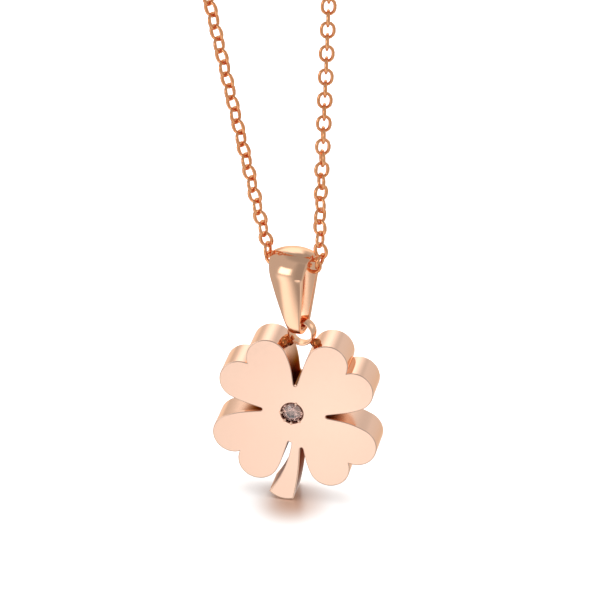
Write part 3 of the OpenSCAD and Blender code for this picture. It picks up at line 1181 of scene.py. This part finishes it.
@dataclass
class Chain:
    """The cable chain: oval links, each turned a quarter from the one before."""

    wire_r: float = 0.147 * MM
    link_w: float = 1.46 * MM
    link_l: float = 1.79 * MM
    side_swell: float = 0.038 * MM
    swell_reach: float = 0.38
    right_pitch: float = 1.163 * MM
    left_pitch: float = 1.19 * MM
    bend_steps: int = 6
    wire_sides: int = 6
    right_mark: float = -203.78 * MM
    left_mark: float = -203.93 * MM
    shown_links: int = 36
    bail_links: int = 7
    line_parts: int = 12
    end_ring_r: float = 0.95 * MM
    end_ring_wire: float = 0.15 * MM
    end_ring_x: float = 5.6 * MM
    end_ring_z: float = 2.0 * MM
    end_ring_sides: int = 10
    end_ring_steps: int = 32

    # Where the broad links start to twist, over what height, and how far they face to the
    # right of the front, in degrees: before the twist, and what the twist adds.
    right_twist_from: float = -186.0 * MM
    right_twist_over: float = 16.0 * MM
    right_turn: float = 10.0
    right_twist: float = 62.0
    right_twist_power: float = 2.2
    left_twist_from: float = -203.0 * MM
    left_twist_over: float = 12.0 * MM
    left_turn: float = -103.0
    left_twist: float = -12.0

    # The chain's line, from the clasp's right end down the right strand, through the bail and
    # up the left strand to the clasp's left end, in millimetres.
    route: tuple[tuple[float, float, float], ...] = (
        (5.65, 0, 1.8), (8.5, 0, 1), (12, 0, -0.8), (15.5, 0, -3.4), (18.7, 0, -6.9),
        (21.2, 0, -11), (22.9, 0, -15.4), (23.8, 0, -20), (24, 0, -25), (23.9, 0, -40),
        (23.8, 0, -60), (23.7, 0, -80), (23.6, 0, -100), (23.5, 0, -120), (23.4, 0, -140),
        (23.3, 0, -160), (23.2, 0, -178), (23.1, -0.1, -190), (23.05, -0.3, -198),
        (23.1, -0.5, -201), (23.2, -0.6, -202.8), (23.35, -0.55, -203.95),
        (23.35, -0.55, -204.45), (23.1, -0.5, -204.85), (22.75, -0.4, -205.05),
        (22.25, -0.25, -205.1), (20.75, 0.15, -205.25), (19.2, 0.6, -205.4),
        (18.7, 0.7, -205.45), (18.3, 0.85, -205.35), (18, 0.95, -205), (17.9, 0.95, -204.5),
        (17.75, 0.8, -203.2), (17.2, 0.5, -201), (16.25, 0.3, -197), (14.55, 0.1, -190),
        (11.75, 0, -178.3), (7.35, 0, -160), (2.55, 0, -140), (-2.25, 0, -120),
        (-7.05, 0, -100), (-11.85, 0, -80), (-16.65, 0, -60), (-21.4, 0, -40),
        (-23.7, 0, -29.5), (-24.2, 0, -24), (-23.9, 0, -19.5), (-22.9, 0, -15.2),
        (-21.2, 0, -11), (-18.7, 0, -6.9), (-15.5, 0, -3.4), (-12, 0, -0.8), (-8.5, 0, 1),
        (-5.65, 0, 1.8),
    )

    def link_mesh(self) -> bpy.types.Mesh:
        """Models one oval link round the origin, long along Z and open along Y.

        Returns:
            The link's mesh.
        """
        bm = bmesh.new()
        bow_r = self.link_w / 2 - self.wire_r
        rise = self.link_l / 2 - self.link_w / 2
        section = bmesh.ops.create_circle(
            bm,
            segments=self.wire_sides,
            radius=self.wire_r,
            matrix=Matrix.Translation((bow_r, 0.0, rise)),
        )["verts"]
        edges = edges_at(section)
        top = self.half_turn(bm, section + edges, rise)
        verts, low_edges = grow_ring(bm, top)
        bmesh.ops.translate(bm, verts=verts, vec=(0, 0, -2 * rise))
        low = self.half_turn(bm, verts + low_edges, -rise)
        bmesh.ops.bridge_loops(bm, edges=low + edges)
        bmesh.ops.recalc_face_normals(bm, faces=bm.faces[:])
        bm.normal_update()
        for vert in bm.verts:
            share = max(0.0, 1.0 - (vert.co.z / (self.link_l * self.swell_reach)) ** 2)
            vert.co += vert.normal * self.side_swell * share
        for face in bm.faces:
            face.smooth = True
        mesh = bpy.data.meshes.new("one_link")
        bm.to_mesh(mesh)
        bm.free()
        return mesh

    def half_turn(self, bm: BMesh, section: list, height: float) -> list:
        """Bends a link's wire round one of the link's two ends.

        Args:
            bm: The link.
            section: Vertices and edges of the wire's end.
            height: Height of the bend's centre.

        Returns:
            The edges of the wire's new end.
        """
        bend = bmesh.ops.spin(
            bm, geom=section, cent=(0, 0, height), axis=FORWARD, angle=math.pi,
            steps=self.bend_steps,
        )
        return only(bend["geom_last"], BMEdge)

    def right_front(self, place: Vector) -> Vector:
        """Gives the way that broad links face on the right strand, which twists near the bail."""
        share = clamped_share(self.right_twist_from - place.z, self.right_twist_over)
        return self.level_way(self.right_turn + self.right_twist * share**self.right_twist_power)

    def left_front(self, place: Vector) -> Vector:
        """Gives the way that broad links face on the left strand."""
        share = clamped_share(place.z - self.left_twist_from, self.left_twist_over)
        return self.level_way(self.left_turn + self.left_twist * share)

    @staticmethod
    def level_way(angle: float) -> Vector:
        """Gives the level direction at a number of degrees to the right of the front."""
        return Matrix.Rotation(math.radians(angle), 3, "Z") @ FORWARD

    def joints(self) -> tuple[list[Vector], int, int]:
        """Works out where each link holds the next one, all along the chain.

        Returns:
            The joints in order, and the numbers of those where the bail's stretch starts and ends.
        """
        points = Strand.through(self.route, self.line_parts).points
        ring_end = self.end_ring_x + self.end_ring_r - 2 * self.wire_r
        lowest = min(range(len(points)), key=lambda i: points[i].z)
        bail_start = next(i for i, p in enumerate(points) if p.z < self.right_mark)
        bail_end = next(i for i, p in enumerate(points) if i > lowest and p.z > self.left_mark)
        first = next(i for i, p in enumerate(points) if p.x > ring_end)
        last = len(points) - next(i for i, p in enumerate(points[::-1]) if p.x < -ring_end)
        down = self.strand_joints(points[first : bail_start + 1][::-1], self.right_pitch, 0)[::-1]
        through = Strand(points[bail_start : bail_end + 1]).even_steps(self.bail_links)
        up = self.strand_joints(points[bail_end:last], self.left_pitch, 1)
        joints = [*down, *through[1:-1], *up]
        return joints, len(down) - 1, len(down) + self.bail_links - 1

    def strand_joints(self, points: list[Vector], pitch: float, odd: int) -> list[Vector]:
        """Walks a strand from the bail up: the shown links by their own pitch, the rest evenly.

        Args:
            points: The strand's line, from the bail to the clasp.
            pitch: Distance between the shown joints.
            odd: 1 for an odd number of links in the strand and 0 for an even one.

        Returns:
            Its joints.
        """
        shown = Strand(points).steps(pitch)[: self.shown_links + 1]
        cut = min(range(len(points)), key=lambda i: (points[i] - shown[-1]).length)
        rest = Strand([shown[-1], *points[cut + 1 :]])
        count = round(rest.length() / pitch)
        count += (count + self.shown_links + odd) % 2
        return [*shown, *rest.even_steps(count)[1:]]

    def links(self) -> bpy.types.Object:
        """Models all links, each passed through the next one, in one piece.

        Returns:
            The links.
        """
        mesh = self.link_mesh()
        joints, bail_start, bail_end = self.joints()
        bm = bmesh.new()
        heading, front = -UP, FORWARD
        for number, (start, end) in enumerate(zip(joints, joints[1:])):
            before_heading, heading = heading, (end - start).normalized()
            middle = (start + end) / 2
            if number < bail_start:
                front = self.right_front(middle)
            elif number >= bail_end:
                front = self.left_front(middle)
            else:
                front = before_heading.rotation_difference(heading) @ front
            front = (front - heading * front.dot(heading)).normalized()
            kind = Facing((number - bail_start) % 2)
            opening = front if kind is Facing.BROAD else heading.cross(front)
            side = opening.cross(heading)
            turn = Matrix((side, opening, heading)).transposed().to_4x4()
            before = len(bm.verts)
            bm.from_mesh(mesh)
            bm.verts.ensure_lookup_table()
            bmesh.ops.transform(
                bm, matrix=Matrix.Translation(middle) @ turn, verts=bm.verts[before:]
            )
        bpy.data.meshes.remove(mesh)
        log.info("chain: %d links", len(joints) - 1)
        return mesh_object("chain_links", bm)

    def end_rings(self) -> bpy.types.Object:
        """Models the two round rings that join the chain's ends to the clasp.

        Returns:
            The rings in one piece.
        """
        bm = bmesh.new()
        for side in (-1, 1):
            centre = Vector((side * self.end_ring_x, 0.0, self.end_ring_z))
            place = Matrix.Translation(centre + Vector((self.end_ring_r, 0, 0)))
            section = bmesh.ops.create_circle(
                bm,
                segments=self.end_ring_sides,
                radius=self.end_ring_wire,
                matrix=place @ Matrix.Rotation(math.pi / 2, 4, "X"),
            )["verts"]
            revolve(bm, section + edges_at(section), centre, UP, self.end_ring_steps)
        return mesh_object("end_rings", bm)


@dataclass
class Clasp:
    """The plain clasp at the top of the loop, with its edges broken."""

    node: str = "clasp"
    edge_break: float = 0.12 * MM
    edge_rows: int = 3
    flat_turn: float = math.radians(1)
    rim_turn: float = math.radians(60)
    smooth_turn: float = math.radians(40)

    def loop(self) -> bpy.types.Object:
        """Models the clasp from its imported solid, merged and with rounded edges.

        Returns:
            The clasp.
        """
        bm = packed_copy(self.node)
        bmesh.ops.dissolve_limit(
            bm, angle_limit=self.flat_turn, verts=bm.verts[:], edges=bm.edges[:]
        )
        rims = [e for e in bm.edges if e.calc_face_angle(0.0) > self.rim_turn]
        round_off(bm, rims, self.edge_break, self.edge_rows, clamp=True)
        mark_sharp(bm, self.smooth_turn)
        piece = mesh_object("clasp_loop", bm)
        weigh_normals(piece)
        return piece


@dataclass(frozen=True)
class Panel:
    """A soft-edged panel of even brightness, placed by its direction from the pendant.

    The angles are in degrees: to the right of the front, above the level, half of its width,
    half of its height, and the width of its soft edge.
    """

    azimuth: float
    elevation: float
    half_width: float
    half_height: float
    edge: float
    level: float


@dataclass(frozen=True)
class Room:
    """The grey room that the metal mirrors, with its panels from the farthest to the nearest."""

    grey: float = 0.6
    panels: tuple[Panel, ...] = (
        Panel(0, 80, 180, 22, 12, 0.42),
        Panel(-172, 14, 13, 15, 12, 1.15),
        Panel(-166, -12, 18, 11, 8, 0.98),
        Panel(158, -2, 14, 24, 8, 0.78),
        Panel(172, -40, 24, 12, 8, 0.95),
        Panel(-157, 42, 17, 18, 10, 1.5),
        Panel(-3, -2, 13, 54, 10, 0.4),
        Panel(34, -52, 34, 16, 10, 0.9),
        Panel(125, 22, 10, 10, 8, 1.3),
        Panel(-40, 6, 14, 11, 6, 2.4),
        Panel(-42, -36, 11, 19, 14, 1.4),
    )

    @staticmethod
    def window(nodes: Nodes, angle: Socket, half: float, edge: float) -> Socket:
        """Gives 1 within half degrees of angle 0 and 0 past a soft edge of edge degrees."""
        outside, inside = math.radians(half + edge), math.radians(half - edge / 2)
        return nodes.ramp(nodes.number("ABSOLUTE", angle), outside, inside)

    def world(self) -> bpy.types.World:
        """Builds the room as the scene's surroundings.

        Returns:
            The surroundings.
        """
        world = bpy.data.worlds.new("room")
        world.use_nodes = True
        nodes = Nodes(world.node_tree)
        split = nodes.add("ShaderNodeSeparateXYZ")
        nodes.feed(nodes.add("ShaderNodeTexCoord").outputs["Object"], split.inputs["Vector"])
        toward = nodes.number("MULTIPLY", split.outputs["Y"], -1.0)
        azimuth = nodes.number("ARCTAN2", split.outputs["X"], toward)
        elevation = nodes.number("ARCSINE", split.outputs["Z"])
        level: float | Socket = self.grey
        for panel in self.panels:
            aside = nodes.number("SUBTRACT", azimuth, math.radians(panel.azimuth))
            aside = nodes.number("WRAP", aside, math.pi, -math.pi)
            above = nodes.number("SUBTRACT", elevation, math.radians(panel.elevation))
            across = self.window(nodes, aside, panel.half_width, panel.edge)
            upright = self.window(nodes, above, panel.half_height, panel.edge)
            step = nodes.number("SUBTRACT", panel.level, level)
            shown = nodes.number("MULTIPLY", across, upright)
            level = nodes.number("MULTIPLY_ADD", step, shown, level)
        background = world.node_tree.nodes["Background"]
        nodes.feed(WHITE, background.inputs["Color"])
        nodes.feed(level, background.inputs["Strength"])
        return world


@dataclass
class Studio:
    """The pale sweep, the white card, the soft top light and the camera.

    Azimuths run to the right of the clover's front and elevations up from it, in radians.
    """

    floor_z: float = -229.45 * MM
    wall_r: float = 2.8
    cove_r: float = 0.8
    wall_rise: float = 2.0
    cove_steps: int = 16
    sweep_steps: int = 96
    sweep_merge: float = 0.001 * MM
    azimuth: float = 0.175
    elevation: float = 0.4714
    roll: float = 0.0288
    distance: float = 400.0 * MM
    pixels_per_mm: float = 10.42
    picture_px: float = 600.0
    clover_px: tuple[float, float] = (298.97, 404.82)
    sensor: float = 36.0
    clip: tuple[float, float] = (0.01, 10.0)
    card_way: tuple[float, float, float] = (-0.155, -0.877, -0.454)
    card_distance: float = 150.0 * MM
    card_half: tuple[float, float] = (16.0 * MM, 14.5 * MM)
    card_drop: float = 1.2 * MM
    card_sides: int = 64
    light_azimuth: float = math.radians(150)
    light_elevation: float = math.radians(80)
    light_distance: float = 0.6
    light_size: float = 1.6
    light_power: float = 13.0
    most_bounces: int = 16
    mirror_bounces: int = 8

    @staticmethod
    def way(azimuth: float, elevation: float) -> Vector:
        """Gives the direction from the clover at an azimuth and an elevation."""
        level = math.cos(elevation)
        return Vector((math.sin(azimuth) * level, -math.cos(azimuth) * level, math.sin(elevation)))

    def sweep(self) -> None:
        """Models the floor, which turns up softly into a round wall far from the pendant."""
        bm = bmesh.new()
        middle = Vector((CLOVER_AT.x, CLOVER_AT.y, self.floor_z))
        rim = middle + Vector((self.wall_r - self.cove_r, 0.0, 0.0))
        line = [bm.verts.new(middle), bm.verts.new(rim)]
        bm.edges.new(line)
        cove = bmesh.ops.spin(
            bm, geom=line[1:], cent=rim + UP * self.cove_r, axis=FORWARD, angle=math.pi / 2,
            steps=self.cove_steps,
        )
        foot = only(cove["geom_last"], BMVert)[0]
        bm.edges.new((foot, bm.verts.new(foot.co + UP * self.wall_rise)))
        profile = bm.verts[:] + bm.edges[:]
        revolve(bm, profile, middle, UP, self.sweep_steps, merge=self.sweep_merge)
        sweep = mesh_object("studio_sweep", bm)
        dress(sweep, PaperFinish().material())
        sweep.visible_glossy = sweep.visible_diffuse = sweep.visible_shadow = False

    def face_card(self) -> None:
        """Models the white card low in front of the pendant, which only its metal mirrors."""
        place = CLOVER_AT + Vector(self.card_way) * self.card_distance
        bm = bmesh.new()
        shape = Matrix.Diagonal((*self.card_half, 1.0, 1.0))
        bmesh.ops.create_circle(
            bm, cap_ends=True, segments=self.card_sides, radius=1.0, matrix=shape
        )
        card = mesh_object("white_card", bm)
        card.location = place - UP * self.card_drop
        card.rotation_mode = "QUATERNION"
        card.rotation_quaternion = (CLOVER_AT - place).to_track_quat("Z", "Y")
        dress(card, CardFinish().material())
        card.visible_camera = card.visible_diffuse = card.visible_shadow = False

    def top_light(self) -> None:
        """Adds the square soft light above the pendant, which polished metal doesn't show."""
        light = bpy.data.lights.new("top", "AREA")
        light.shape = "SQUARE"
        light.size = self.light_size
        light.energy = self.light_power
        lamp = bpy.data.objects.new("top", light)
        way = self.way(self.light_azimuth, self.light_elevation)
        lamp.visible_glossy = False
        lamp.location = CLOVER_AT + way * self.light_distance
        lamp.rotation_mode = "QUATERNION"
        lamp.rotation_quaternion = (-way).to_track_quat("-Z", "Y")
        bpy.context.scene.collection.objects.link(lamp)

    def camera(self) -> None:
        """Sets the camera at the photograph's place, turned so that the clover falls right."""
        back = self.way(self.azimuth, self.elevation)
        right = Vector((math.cos(self.azimuth), math.sin(self.azimuth), 0.0))
        up = back.cross(right)
        turn = Matrix.Rotation(self.roll, 3, back)
        right, up = turn @ right, turn @ up
        mm_per_px = MM / self.pixels_per_mm
        aside = self.picture_px / 2 - self.clover_px[0]
        above = self.clover_px[1] - self.picture_px / 2
        place = CLOVER_AT + back * self.distance
        target = CLOVER_AT + right * (aside * mm_per_px) + up * (above * mm_per_px)
        view = (place - target).normalized()
        level = up.cross(view).normalized()
        rows = Matrix((level, view.cross(level), view)).transposed()
        data = bpy.data.cameras.new("camera")
        data.sensor_width = self.sensor
        data.lens = self.sensor * self.pixels_per_mm * (self.distance / MM) / self.picture_px
        data.clip_start, data.clip_end = self.clip
        camera = bpy.data.objects.new("camera", data)
        camera.matrix_world = Matrix.Translation(place) @ rows.to_4x4()
        bpy.context.scene.collection.objects.link(camera)
        bpy.context.scene.camera = camera

    def colours(self) -> None:
        """Sets plain colours and a clean picture."""
        scene = bpy.context.scene
        scene.view_settings.view_transform = "Standard"
        scene.view_settings.look = "None"
        scene.cycles.use_denoising = True
        scene.cycles.max_bounces = scene.cycles.transmission_bounces = self.most_bounces
        scene.cycles.glossy_bounces = self.mirror_bounces


def main() -> None:
    """Builds the studio and every piece in order."""
    logging.basicConfig(level=logging.INFO, format="%(message)s")
    studio = Studio()
    studio.camera()
    studio.sweep()
    studio.face_card()
    studio.top_light()
    bpy.context.scene.world = Room().world()
    studio.colours()
    mirror, bail_metal = MIRROR.material(), BAIL_METAL.material()
    wire, solder_metal = CHAIN_METAL.material(), SOLDER.material()
    clover, ring = Clover(), HangingRing()
    solder = Solder(ring, clover)
    chain = Chain()
    hand_over(clover.plate(), mirror, Body.CLOVER, Slot.POLISHED, "clover")
    # The dark cup stands for the shade in the gap round the stone.
    hand_over(clover.seat_cup(), SEAT_SHADE_METAL.material(), Body.CLOVER, Slot.POLISHED)
    hand_over(clover.grains(), mirror, Body.CLOVER, Slot.POLISHED)
    hand_over(ring.band(), bail_metal, Body.CLOVER, Slot.POLISHED)
    hand_over(solder.blobs(), solder_metal, Body.CLOVER, Slot.POLISHED)
    hand_over(Bail().sheet(), bail_metal, Body.BAIL, Slot.BAIL, "bail")
    hand_over(chain.links(), wire, Body.NECKLACE, Slot.CHAIN, "chain")
    hand_over(chain.end_rings(), wire, Body.NECKLACE, Slot.CHAIN)
    hand_over(Clasp().loop(), wire, Body.NECKLACE, Slot.CHAIN, "clasp")
    dress(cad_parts["stone"], StoneFinish().material())


if __name__ == "__main__":
    main()
